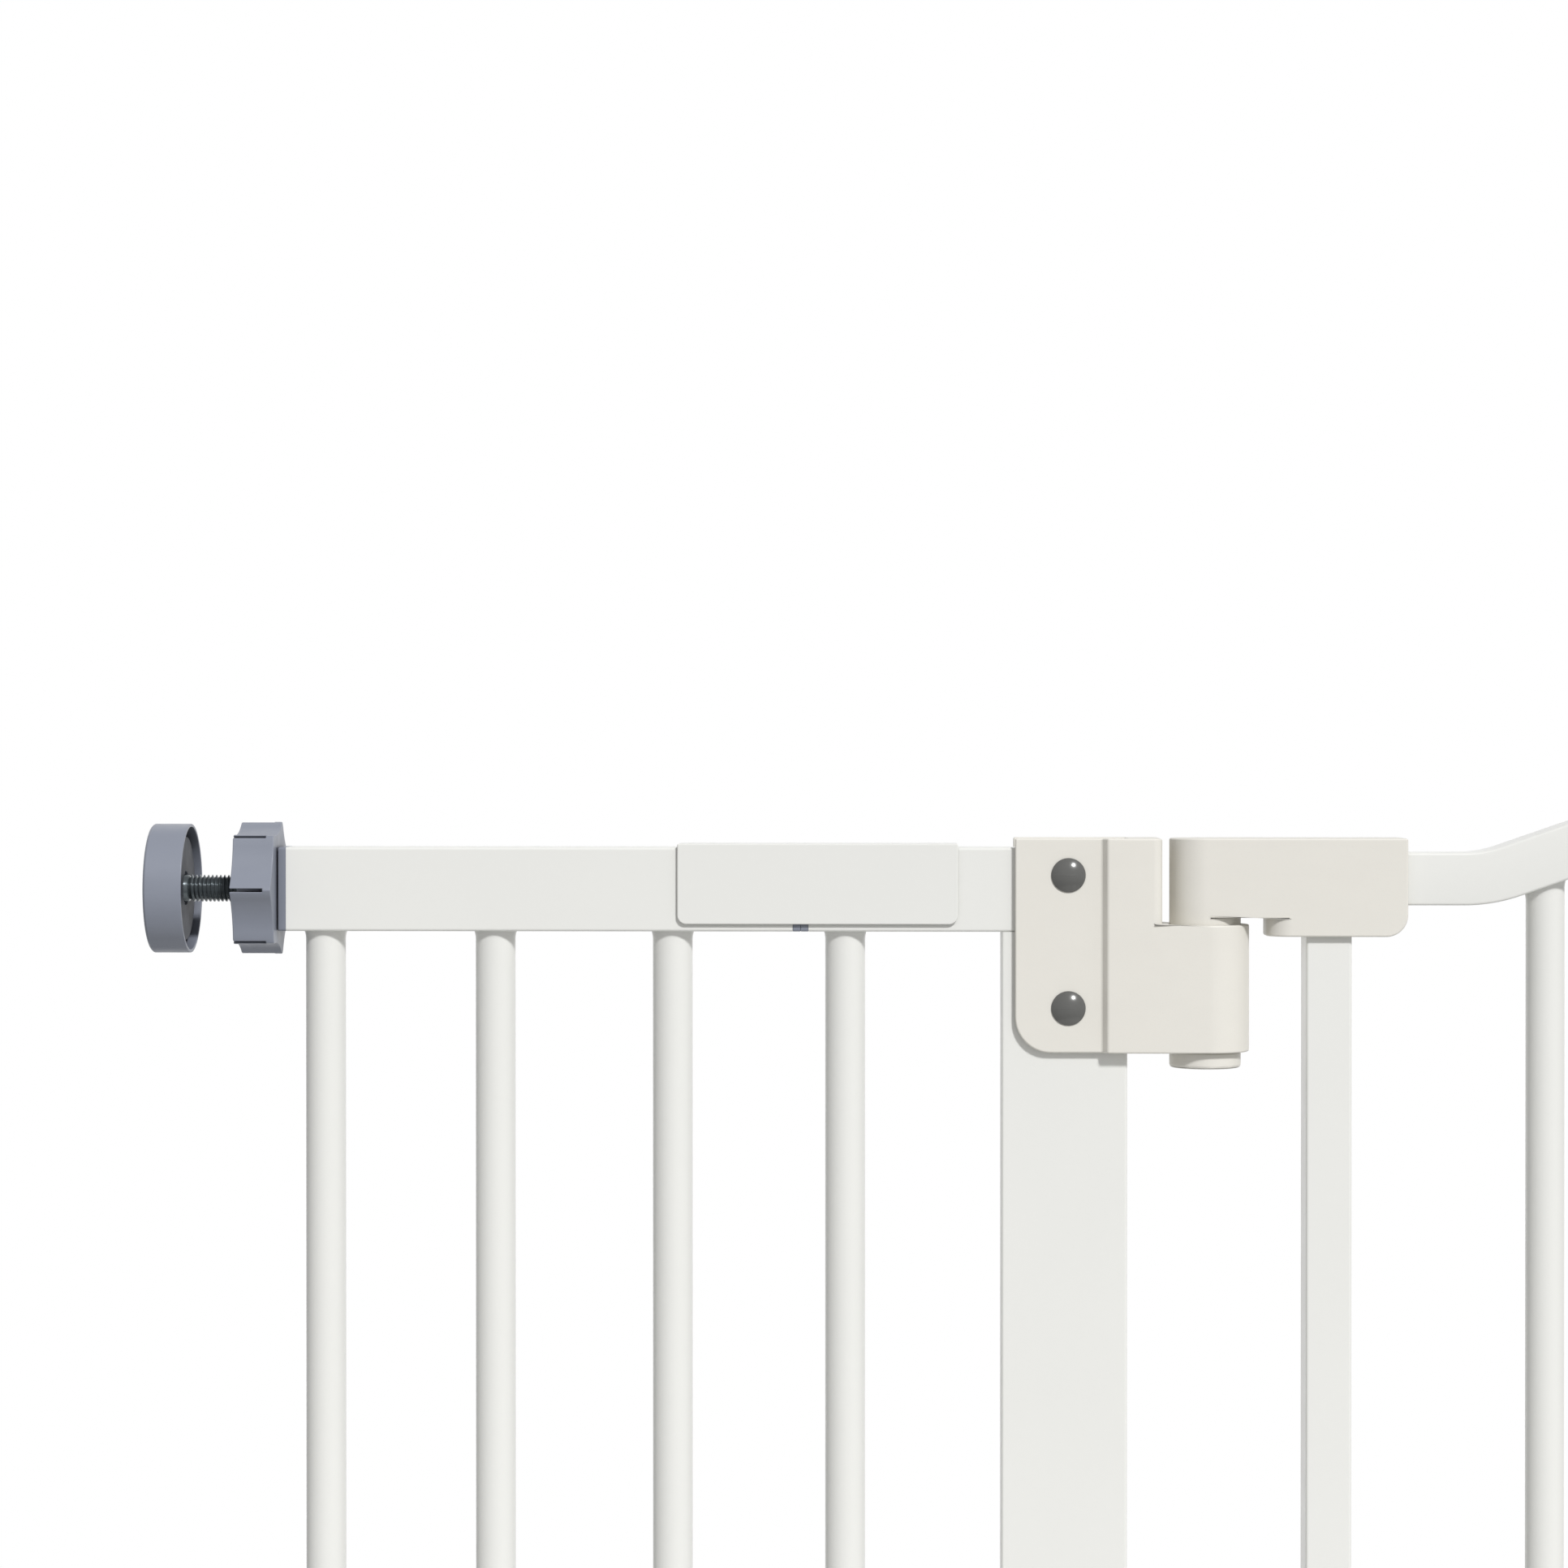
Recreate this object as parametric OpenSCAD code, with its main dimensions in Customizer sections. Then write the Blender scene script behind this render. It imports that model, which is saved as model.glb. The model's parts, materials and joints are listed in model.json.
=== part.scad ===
// Pressure-fitted stair gate with an arched swinging door and one extension panel.
// X runs along the gate, Y from front to back and Z up. The origin is on the floor,
// midway between the two walls and on the middle plane of the gate's tubes.
// At rest the door is closed and its lock is drawn back.

/* [Frame] */
// Height of the upper rails' centre line above the floor
top_rail_z = 735; // [600:1:900]
// Height of the lower rails' centre line above the floor
low_rail_z = 27; // [26:1:32]
// Height of a rail's section
rail_h = 30.8; // [28:0.2:32]
// Depth of a rail's section, front to back
rail_d = 20; // [18:0.5:22]
// Wall thickness of the steel tubes
tube_wall = 0.8; // [0.6:0.1:0.9]
// Outer corner radius of the rectangular tubes
tube_r = 1; // [1:0.1:3]
// Diameter of the frame's round bars
bar_d = 14.4; // [12:0.2:16]
// Width of the two door posts
post_w = 45.9; // [42:0.1:52]
// Length of fixed rail outside each post
stub_len = 70.5; // [66:0.1:120]
// Distance of a fixed rail's bar from its plugged end
stub_bar = 13.3; // [12:0.1:24]

/* [Extension] */
// Length of the extension panel's rails
ext_len = 186; // [180:0.1:200]
// Distances of the extension's bars from its outer end
ext_bars = [13.4, 76.2, 141.6]; // [10:0.1:160]
// Length of the cover over each rail joint
cover_len = 102.6; // [80:0.2:120]
// Distance from the rail joint to the cover's middle, towards the post
cover_shift = 6.2; // [0:0.1:8]
// Sheet thickness of the cover
cover_t = 1.2; // [1:0.1:1.6]
// Gap between the cover and the front and back of the rail
cover_gap = 0.5; // [0.3:0.1:1]
// Depth of the cover's skirts below the rail's centre line
cover_drop = 12.7; // [10:0.1:14]

/* [Wall fittings] */
// Diameter of the threaded spindle
spindle_d = 10; // [8:0.5:11]
// Length of spindle inside the rail
spindle_in = 50; // [45:1:52]
// Diameter of the wall pad
pad_d = 47.6; // [40:0.2:50]
// Thickness of the wall pad
pad_t = 14.1; // [12:0.1:16]
// Clear length of spindle between the pad's rim and the hand nut
pad_gap = 17.9; // [17:0.1:30]
// Hand nut's size across opposite corners of its seven-sided circle
nut_d = 50.2; // [44:0.2:51]
// Thickness of the hand nut
nut_t = 15; // [12:0.1:16]
// Thickness of the plug flanges in the rail ends
flange_t = 2.9; // [2:0.1:4]

/* [Hinges] */
// Distance from the hinge post's face to the hinge axis
hinge_gap = 29; // [28:0.2:34]
// Radius of the hinge arm's barrel
barrel_r = 13.1; // [12:0.1:13.4]
// Radius of the bracket's knuckle
knuckle_r = 16.1; // [15.9:0.1:17]
// Distance from the hinge axis to the door stile's centre
stile_x = 44.4; // [42:0.2:50]
// Radius of the pin under the barrel
pin_r = 9; // [8:0.1:9.2]

/* [Door] */
// Distance between the centres of the door's two stiles
door_w = 421; // [419:1:423]
// Width of a door stile
stile_w = 16.6; // [16:0.1:17]
// Height of the door rails' section
door_rail_h = 19.2; // [18:0.2:20.4]
// Height of the door's flat rail ends above the frame's rail centre
door_rise = 4; // [2:0.1:4]
// Slope of the ramps that lead up to the arch, in degrees
ramp_deg = 19.2; // [15:0.2:21]
// Distance from a stile's centre to where the flat end would meet the ramp
bend_x = 58; // [56:0.1:62]
// Radius of the bend from the flat end into the ramp
bend_r = 52; // [40:1:60]
// Distance from a stile's centre to where the ramp passes into the arch
arch_x = 89; // [80:1:100]
// Number of the door's round bars
door_bars = 5; // [3:1:5]
// Spacing of the door's round bars
door_pitch = 65.3; // [60:0.1:66]
// Diameter of the door's round bars
door_bar_d = 13.8; // [12:0.1:16]
// Height of the door's lower rail centre above the floor
door_low_z = 70; // [69:1:90]

/* [Lock] */
// Travel of the lock slider and bolt
bolt_travel = 12.5; // [12:0.1:12.5]
// Width of the bolt, front to back
bolt_w = 12; // [10:0.2:12]
// Height of the bolt
bolt_h = 14; // [12:0.2:14]
// Gap between the handle's end and the keeper
latch_gap = 3; // [2.5:0.1:4]

/* [Hidden] */
// Overlap that makes two shapes one solid
e = 0.01;
// Clearance round a fixed piece, and round one that slides
slack = 0.1;
move_gap = 0.3;
// Longer than any hole or slot
through = 100;

// The wall fittings' stations, measured outwards from the end of a rail
flange_out = flange_t;
nut_gap = 0.6;
nut_in = flange_out + nut_gap;
nut_out = nut_in + nut_t;
rim_out = nut_out + pad_gap;
wall_out = rim_out + pad_t;

// Places along X, first from the hinge axis and then from the middle of the gate
handle_out = 31.6;
keeper_face = stile_x + door_w + handle_out + latch_gap;
block_out = 16.5;
keeper_block = hinge_gap - block_out;
left_span = hinge_gap + post_w + stub_len + 2 * flange_t + ext_len + wall_out;
right_span = keeper_face + keeper_block + post_w + stub_len + wall_out;
hinge_x = (left_span - right_span) / 2;
post_x1 = hinge_x - hinge_gap;
post_x0 = post_x1 - post_w;
stub_x0 = post_x0 - stub_len;
joint_x = stub_x0 - flange_t;
ext_x1 = joint_x - flange_t;
ext_x0 = ext_x1 - ext_len;
stile_x0 = hinge_x + stile_x;
stile_x1 = stile_x0 + door_w;
keeper_x = hinge_x + keeper_face;
latch_x0 = keeper_x + keeper_block;
latch_x1 = latch_x0 + post_w;
end_x = latch_x1 + stub_len;

// Heights
rail_top = rail_h / 2;
door_top_z = top_rail_z + door_rise;
stile_foot_z = door_low_z - door_rail_h / 2;

// The clamp brackets' shape, about the hinge axis
plate_t = 3;
plate_y = rail_d / 2 + plate_t;
post_bare = 4.9;
plate_out = hinge_gap + post_w - post_bare;
block_in = 36.4;
block_slope = 1.9;
bracket_up = 18.8;
bracket_down = 59.4;
knuckle_top = -12.8;
corner_r = 13;
screw_x = 50.6;
screw_z = [5.4, -43.1];
screw_r = 2;
head_r = 6.25;
head_h = 2.4;
head_rim = 0.4;
bolt_in_nut = 1;

// The hinge arm's shape, about the hinge axis
arm_end = 72.8;
arm_bottom = -10;
arm_skirt = -17;
skirt_x = 21.7;
barrel_seat = knuckle_top - 3;
bush_r = 11;
pin_end = -bracket_down - 2 * slack;

// The cap under the pin, its screw and the recess for the screw's head
cap_r = 13.1;
cap_t = 5.8;
cap_screw_r = 1.5;
cap_head_r = 3.2;
cap_recess = 2;

// Seven-sided nut: its sides, the hollow of each side and the slots at its corners
nut_sides = 7;
flank_r = 27;
flank_in = 1.6;
slot_w = 1.25;
slot_len = 11.8;

// The wall pad's floor under the end of its spindle
pad_floor = 2;

// Handle: half its thickness, its edges from the stile's centre and the rail's height,
// its screws' places, their heads' seat and their tips along Y
handle_t = 16;
handle_in = -29;
handle_up = 24;
handle_down = -46;
handle_screw_at = [[-21, -34], [24, -34], [-21, 19.2]];
handle_screw_r = 1.6;
handle_head_r = 3.1;
screw_seat = -13;
screw_end = 11;

// Bolt and slider: the bolt's back end and the stem between the two, from the stile's centre
bolt_back = stile_w / 2 + 1;
stem_x = 11;
stem_w = 3;
stem_d = 6;

// Spring under the bolt, from the stile's centre and the rail's height
spring_back = stile_w / 2 + 0.7;
spring_z = -bolt_h / 2 - 4;
spring_len = 19;
spring_w = 8;

wall_names = ["upper_left", "lower_left", "upper_right", "lower_right"];
wall_z = [top_rail_z, low_rail_z, top_rail_z, low_rail_z];
wall_side = [-1, -1, 1, 1];

// ---------- shared shapes ----------

// A rectangle with true round corners
module round_rect(w, h, r) {
    square([w - 2 * r, h], center = true);
    square([w, h - 2 * r], center = true);
    for (x = [-1, 1], y = [-1, 1])
        translate([x * (w / 2 - r), y * (h / 2 - r)]) circle(r = r, $fn = 32);
}

// The section of a rectangular tube
module tube_section(w, h) {
    difference() {
        round_rect(w, h, tube_r);
        round_rect(w - 2 * tube_wall, h - 2 * tube_wall, tube_r - tube_wall);
    }
}

// Sets a solid that stands along Z so that it runs along X from x0 at height z
module along_x(x0, z) {
    translate([x0, 0, z]) rotate([90, 0, 90]) children();
}

// Sets a shape drawn in the XZ plane so that it is as thick as y0 to y1
module plate_xz(y0, y1) {
    translate([0, y1, 0]) rotate([90, 0, 0]) linear_extrude(y1 - y0) children();
}

module rail(x0, x1, z, h = rail_h) {
    along_x(x0, z) linear_extrude(x1 - x0) tube_section(rail_d, h);
}

module upright(x, w, z0, z1) {
    translate([x, 0, z0]) linear_extrude(z1 - z0) tube_section(w, rail_d);
}

// A round bar with a small weld collar at each end
module round_bar(x, z0, z1, d) {
    collar = 0.3;
    collar_h = 2.7;
    h = z1 - z0;
    translate([x, 0, z0]) rotate_extrude($fn = 48)
        polygon([
            [d / 2 - tube_wall, 0], [d / 2 + collar, 0], [d / 2, collar_h],
            [d / 2, h - collar_h], [d / 2 + collar, h], [d / 2 - tube_wall, h]
        ]);
}

// Places local +Z outwards along X, at a rail's end; side is -1 for left and 1 for right
module facing_wall(x, z, side) {
    translate([x, 0, z]) rotate([0, side * 90, 0]) children();
}

module at_wall(i) {
    facing_wall(wall_side[i] < 0 ? ext_x0 : end_x, wall_z[i], wall_side[i]) children();
}

// Places a clamp bracket's own frame, whose origin is on the hinge axis at the rail's height
module at_clamps() {
    translate([hinge_x, 0, top_rail_z]) children();
    translate([hinge_x, 0, door_low_z]) mirror([0, 0, 1]) children();
    translate([keeper_x - block_out, 0, top_rail_z]) mirror([1, 0, 0]) children();
}

// ---------- frame ----------

// The clamp bolts' holes, in a clamp's own frame
module clamp_holes() {
    for (z = screw_z) translate([-screw_x, 0, z]) rotate([90, 0, 0])
        cylinder(r = screw_r + slack, h = through, center = true, $fn = 32);
}

module hinge_post() {
    color("whitesmoke") difference() {
        upright((post_x0 + post_x1) / 2, post_w, low_rail_z + rail_top, top_rail_z - rail_top);
        at_clamps() clamp_holes();
    }
}

module latch_post() {
    color("whitesmoke") difference() {
        upright((latch_x0 + latch_x1) / 2, post_w, low_rail_z + rail_top, top_rail_z - rail_top);
        at_clamps() clamp_holes();
    }
}

module threshold_rail() {
    color("whitesmoke") rail(stub_x0, end_x, low_rail_z);
}

module left_top_rail() {
    color("whitesmoke") difference() {
        rail(stub_x0, post_x1, top_rail_z);
        at_clamps() clamp_holes();
    }
}

module right_top_rail() {
    color("whitesmoke") difference() {
        rail(latch_x0, end_x, top_rail_z);
        at_clamps() clamp_holes();
    }
}

module frame_bar(x) {
    color("white") round_bar(x, low_rail_z + rail_top, top_rail_z - rail_top, bar_d);
}

module left_frame_bar() { frame_bar(stub_x0 + stub_bar); }

module right_frame_bar() { frame_bar(end_x - stub_bar); }

// Feet under the two posts and near the two ends
module floor_feet() {
    foot_w = 40;
    foot_d = 18;
    foot_r = 4;
    left_in = 45;
    right_in = 22;
    foot_x = [
        ext_x0 + left_in, (post_x0 + post_x1) / 2, (latch_x0 + latch_x1) / 2, end_x - right_in
    ];
    color("slategray") for (x = foot_x) translate([x, 0, 0])
        linear_extrude(low_rail_z - rail_top) round_rect(foot_w, foot_d, foot_r);
}

// ---------- extension ----------

module extension_top_rail() {
    color("whitesmoke") rail(ext_x0, ext_x1, top_rail_z);
}

module extension_bottom_rail() {
    color("whitesmoke") rail(ext_x0, ext_x1, low_rail_z);
}

module extension_bar(i) { frame_bar(ext_x0 + ext_bars[i]); }

// A folded sheet cap that drops over the joint between two upper rails
module connector_cover() {
    out_y = rail_d / 2 + cover_gap + cover_t;
    top = rail_top + slack + cover_t;
    skirt_r = 3.3;
    h = top + cover_drop;
    color("white") difference() {
        intersection() {
            translate([-cover_len / 2, -out_y, -cover_drop]) cube([cover_len, 2 * out_y, h]);
            plate_xz(-out_y - 1, out_y + 1)
                translate([0, top - h / 2]) union() {
                    round_rect(cover_len, h, skirt_r);
                    translate([-cover_len / 2, 0]) square([cover_len, h / 2]);
                }
        }
        translate([-cover_len, -out_y + cover_t, -rail_h])
            cube([2 * cover_len, 2 * (out_y - cover_t), rail_h + rail_top + slack]);
    }
}

module connector_cover_upper() {
    translate([joint_x + cover_shift, 0, top_rail_z]) connector_cover();
}

// The lower cover is the same piece, pushed on from below
module connector_cover_lower() {
    translate([joint_x + cover_shift, 0, low_rail_z]) mirror([0, 0, 1]) connector_cover();
}

// A plug with a flange as large as the tube and a body inside it. Local +Z points outwards.
module rail_plug() {
    body_len = 14;
    body_r = 1;
    gap = 2 * (tube_wall + slack);
    difference() {
        union() {
            linear_extrude(flange_t) round_rect(rail_h, rail_d, tube_r);
            translate([0, 0, -body_len])
                linear_extrude(body_len + e) round_rect(rail_h - gap, rail_d - gap, body_r);
        }
        cylinder(d = spindle_d + 2 * slack, h = through, center = true, $fn = 48);
    }
}

module extension_plugs() {
    color("slategray") for (z = [top_rail_z, low_rail_z]) facing_wall(ext_x1, z, 1) rail_plug();
}

module frame_plugs() {
    color("slategray") for (z = [top_rail_z, low_rail_z]) facing_wall(stub_x0, z, -1) rail_plug();
}

module joining_rods() {
    rod_len = 60;
    color("dimgray") for (z = [top_rail_z, low_rail_z])
        along_x(joint_x - rod_len / 2, z) cylinder(d = spindle_d, h = rod_len, $fn = 48);
}

// ---------- wall fittings ----------

module spindle_plug(i) { color("slategray") at_wall(i) rail_plug(); }

// The nut's outline: each side runs from corner to corner by way of a slight hollow
module nut_outline() {
    half_side = 180 / nut_sides;
    centre_x = nut_d / 2 * cos(half_side) - flank_in + flank_r;
    flank_a = acos((flank_r - flank_in) / flank_r);
    steps = 8;
    polygon([
        for (k = [0:nut_sides - 1])
            let (side_a = (2 * k + 1) * half_side)
            each concat(
                [nut_d / 2 * [cos(side_a - half_side), sin(side_a - half_side)]],
                [for (i = [0:steps])
                    let (
                        a = 180 + flank_a * (1 - 2 * i / steps),
                        x = centre_x + flank_r * cos(a),
                        y = flank_r * sin(a)
                    )
                    [x * cos(side_a) - y * sin(side_a), x * sin(side_a) + y * cos(side_a)]]
            )
    ]);
}

// A seven-sided cup with a slot at every corner and a threaded hub
module hand_nut(i) {
    corner_t = 5;
    end_t = nut_t - slot_len;
    hub_r = 8;
    slot_in = 10;
    color("slategray") at_wall(i) translate([0, 0, nut_in]) rotate([0, 0, wall_side[i] * 90])
        difference() {
            linear_extrude(nut_t) nut_outline();
            difference() {
                translate([0, 0, end_t])
                    cylinder(r = nut_d / 2 - corner_t, h = nut_t, $fn = nut_sides);
                cylinder(r = hub_r, h = nut_t, $fn = 48);
            }
            for (k = [0:nut_sides - 1]) rotate([0, 0, k * 360 / nut_sides])
                translate([slot_in, -slot_w / 2, end_t - 2 * slack])
                    cube([nut_d / 2, slot_w, nut_t]);
            cylinder(d = spindle_d + 2 * slack, h = through, center = true, $fn = 48);
        }
}

module spindle(i) {
    color("dimgray") at_wall(i) translate([0, 0, -spindle_in])
        cylinder(d = spindle_d, h = spindle_in + wall_out - pad_floor, $fn = 48);
}

// A thick disc whose back meets the wall; its front has a raised rim with a groove inside it,
// and a recess round the spindle
module wall_pad(i) {
    r = pad_d / 2;
    rim = 1.2;
    groove_z = 7.6;
    disc_r = 19.1;
    disc_t = pad_t - 2;
    recess_t = pad_t - 3.1;
    recess_r = 6.3;
    bevel = 0.8;
    hole_r = (spindle_d + slack) / 2;
    color("slategray") at_wall(i) translate([0, 0, wall_out]) mirror([0, 0, 1])
        rotate_extrude($fn = 96)
            polygon([
                [0, 0], [r - bevel, 0], [r, bevel], [r, pad_t], [r - rim, pad_t],
                [r - rim, groove_z], [disc_r, groove_z], [disc_r, disc_t],
                [recess_r, disc_t], [recess_r, recess_t], [hole_r, recess_t],
                [hole_r, pad_floor], [0, pad_floor]
            ]);
}

// ---------- hinges and keeper ----------

// The clamp's section seen from above: two plates and a block around a post's edge
module clamp_section() {
    half = [
        [-plate_out, plate_y], [-block_in - block_slope, plate_y],
        [-block_in, knuckle_r], [-block_out, knuckle_r], [-block_out, 0],
        [-hinge_gap, 0], [-hinge_gap, rail_d / 2], [-plate_out, rail_d / 2]
    ];
    edge_r = 3.5;
    for (s = [0, 1]) mirror([0, s]) difference() {
        polygon(half);
        translate([-block_out - edge_r, knuckle_r - edge_r]) difference() {
            square(2 * edge_r);
            circle(r = edge_r, $fn = 48);
        }
    }
}

// The clamp, with its lower outer corner rounded
module clamp() {
    h = bracket_up + bracket_down;
    intersection() {
        translate([0, 0, -bracket_down]) linear_extrude(h) clamp_section();
        plate_xz(-2 * knuckle_r, 2 * knuckle_r) union() {
            translate([-plate_out, -bracket_down + corner_r])
                square([plate_out, h - corner_r]);
            translate([-plate_out + corner_r, -bracket_down])
                square([plate_out - corner_r, h]);
            translate([-plate_out + corner_r, -bracket_down + corner_r])
                circle(r = corner_r, $fn = 64);
        }
    }
}

// The hinge bracket: a clamp with a knuckle that holds the bush
module hinge_bracket() {
    into_block = 4;
    h = bracket_down + knuckle_top;
    color("antiquewhite") difference() {
        union() {
            clamp();
            translate([-block_out - into_block, -knuckle_r, -bracket_down])
                cube([block_out + into_block, 2 * knuckle_r, h]);
            translate([0, 0, -bracket_down]) cylinder(r = knuckle_r, h = h, $fn = 96);
        }
        cylinder(r = bush_r, h = 2 * through, center = true, $fn = 64);
        translate([0, 0, barrel_seat])
            cylinder(r = barrel_r + slack, h = through, $fn = 96);
        clamp_holes();
    }
}

module hinge_bracket_upper() { translate([hinge_x, 0, top_rail_z]) hinge_bracket(); }

module hinge_bracket_lower() {
    translate([hinge_x, 0, door_low_z]) mirror([0, 0, 1]) hinge_bracket();
}

module hinge_bushes() {
    clearance = 0.06;
    color("ivory") for (at = [[top_rail_z, 0], [door_low_z, 1]])
        translate([hinge_x, 0, at[0]]) mirror([0, 0, at[1]])
            translate([0, 0, -bracket_down]) difference() {
                cylinder(r = bush_r, h = bracket_down + barrel_seat, $fn = 64);
                cylinder(r = pin_r + clearance, h = 2 * through, center = true, $fn = 64);
            }
}

// The keeper is the same clamp on the latch post, with a pocket down to the post for the bolt
module latch_keeper() {
    room = 0.6;
    color("antiquewhite") translate([keeper_x, 0, top_rail_z]) difference() {
        mirror([1, 0, 0]) translate([block_out, 0, 0]) difference() {
            clamp();
            clamp_holes();
        }
        translate([-1, -bolt_w / 2 - room, -bolt_h / 2 - room])
            cube([keeper_block + 1 + e, bolt_w + 2 * room, bolt_h + 2 * room]);
    }
}

// A screw's head on the plane z = 0: a shallow dome over a thin rim
module dome() {
    rise = head_h - head_rim;
    ball_r = (head_r * head_r + rise * rise) / (2 * rise);
    half = asin(head_r / ball_r);
    steps = 8;
    rotate_extrude($fn = 64) polygon(concat(
        [[0, 0], [head_r, 0]],
        [for (i = [0:steps])
            let (a = half * (1 - i / steps))
            [ball_r * sin(a), head_h - ball_r * (1 - cos(a))]]
    ));
}

module clamp_bolts() {
    bolt_len = 2 * plate_y + bolt_in_nut;
    color("dimgray") at_clamps() for (z = screw_z)
        translate([-screw_x, -plate_y, z]) rotate([90, 0, 0]) union() {
            dome();
            translate([0, 0, -bolt_len]) cylinder(r = screw_r, h = bolt_len + e, $fn = 32);
        }
}

module clamp_nuts() {
    hole = bolt_in_nut + 4 * slack;
    color("dimgray") at_clamps() for (z = screw_z)
        translate([-screw_x, plate_y, z]) rotate([-90, 0, 0]) difference() {
            dome();
            cylinder(r = screw_r + slack, h = 2 * hole, center = true, $fn = 32);
        }
}

// ---------- door ----------

// Points of the arched rail's line, moved sideways by off, from the hinge stile's centre line
function turn(p, a, off) = [p[0] - off * sin(a), p[1] + off * cos(a)];
function arc(c, r, a0, a1, off, n) = [
    for (i = [0:n])
        let (a = a0 + (a1 - a0) * i / n)
        turn(c + r * [sin(a), -cos(a)], a, off)
];
function arch_half(off) =
    let (
        bend_steps = 8,
        arch_steps = 12,
        start = bend_x - bend_r * tan(ramp_deg / 2),
        ramp_z = (arch_x - bend_x) * tan(ramp_deg),
        arch_r = (door_w / 2 - arch_x) / sin(ramp_deg),
        top_z = ramp_z + arch_r * (1 - cos(ramp_deg))
    )
    concat(
        [[-stile_w / 2, off]],
        arc([start, bend_r], bend_r, 0, ramp_deg, off, bend_steps),
        arc([door_w / 2, top_z - arch_r], -arch_r, ramp_deg, 0, off, arch_steps)
    );
function mirrored(points) = [for (i = [len(points) - 1:-1:0]) [door_w - points[i][0], points[i][1]]];
function reversed(points) = [for (i = [len(points) - 1:-1:0]) points[i]];
function arch_line(off) = concat(arch_half(off), mirrored(arch_half(off)));

module arch_band(half_h) {
    polygon(concat(arch_line(half_h), reversed(arch_line(-half_h))));
}

module door_top_rail() {
    hollow = rail_d / 2 - tube_wall;
    color("whitesmoke") translate([stile_x0, 0, door_top_z]) difference() {
        plate_xz(-rail_d / 2, rail_d / 2) arch_band(door_rail_h / 2);
        plate_xz(-hollow, hollow) arch_band(door_rail_h / 2 - tube_wall);
    }
}

// Everything above the arched rail's lower face
module above_arch() {
    translate([stile_x0, 0, door_top_z]) plate_xz(-rail_d, rail_d)
        polygon(concat(
            arch_line(-door_rail_h / 2), [[door_w + stile_w, through], [-stile_w, through]]
        ));
}

module door_bar(i) {
    x = stile_x0 + door_w / 2 + door_pitch * (i - (door_bars - 1) / 2);
    z0 = door_low_z + door_rail_h / 2;
    above = 60;
    color("white") difference() {
        round_bar(x, z0, top_rail_z + above, door_bar_d);
        above_arch();
    }
}

module hinge_stile() {
    color("whitesmoke") upright(stile_x0, stile_w, stile_foot_z, door_top_z - door_rail_h / 2);
}

module latch_stile() {
    color("whitesmoke") upright(stile_x1, stile_w, stile_foot_z, door_top_z - door_rail_h / 2);
}

module door_bottom_rail() {
    color("whitesmoke")
        rail(stile_x0 + stile_w / 2, stile_x1 - stile_w / 2, door_low_z, door_rail_h);
}

module stile_cap() {
    cap_h = 2.5;
    body_len = 10;
    body_r = 1;
    gap = 2 * (tube_wall + slack);
    color("slategray") translate([stile_x1, 0, stile_foot_z]) union() {
        translate([0, 0, -cap_h]) linear_extrude(cap_h) round_rect(stile_w, rail_d, tube_r);
        translate([0, 0, -e])
            linear_extrude(body_len) round_rect(stile_w - gap, rail_d - gap, body_r);
    }
}

// The hinge arm's outline seen from the front, without its barrel
module arm_outline() {
    end_r = 8;
    difference() {
        union() {
            translate([0, arm_bottom]) square([arm_end, bracket_up - arm_bottom]);
            translate([skirt_x, arm_skirt])
                square([arm_end - skirt_x, bracket_up - arm_skirt]);
        }
        translate([arm_end - end_r, arm_skirt + end_r]) difference() {
            translate([0, -2 * end_r]) square(2 * end_r);
            circle(r = end_r, $fn = 48);
        }
    }
}

// Room for a stile and the rail that leaves it towards +X, about the stile's centre
module corner_sockets() {
    z0 = door_rise - door_rail_h / 2;
    translate([-stile_w / 2, -rail_d / 2, z0]) cube([through, rail_d, door_rail_h]);
    translate([-stile_w / 2, -rail_d / 2, z0 - through]) cube([stile_w, rail_d, through + e]);
}

// The arm: a body around the door's corner, a barrel and the pin under it
module hinge_arm(socket_shift) {
    skirt_r = 9;
    seat = barrel_seat + 2 * slack;
    pilot = 15;
    color("antiquewhite") difference() {
        union() {
            plate_xz(-barrel_r, barrel_r) arm_outline();
            translate([0, 0, seat]) cylinder(r = barrel_r, h = bracket_up - seat, $fn = 96);
            translate([0, 0, pin_end]) cylinder(r = pin_r, h = seat + 1 - pin_end, $fn = 64);
        }
        translate([skirt_x + skirt_r, 0, arm_skirt - 1]) skirt_corners(skirt_r);
        translate([stile_x, 0, socket_shift]) corner_sockets();
        translate([0, 0, pin_end])
            cylinder(r = cap_screw_r + slack, h = 2 * pilot, center = true, $fn = 32);
    }
}

// Cuts the two upright edges at the skirt's left end to a radius
module skirt_corners(r) {
    depth = arm_bottom - arm_skirt + 1;
    for (s = [0, 1]) mirror([0, s, 0]) translate([0, barrel_r - r, 0]) difference() {
        translate([-r - 1, 0, 0]) cube([r + 1, r + 1, depth]);
        cylinder(r = r, h = through, center = true, $fn = 48);
    }
}

module hinge_arm_upper() { translate([hinge_x, 0, top_rail_z]) hinge_arm(0); }

// The lower arm is the upper one turned over; its door rail lies on its own centre line
module hinge_arm_lower() {
    translate([hinge_x, 0, door_low_z]) mirror([0, 0, 1]) hinge_arm(-door_rise);
}

module at_hinges() {
    translate([hinge_x, 0, top_rail_z]) children();
    translate([hinge_x, 0, door_low_z]) mirror([0, 0, 1]) children();
}

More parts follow.
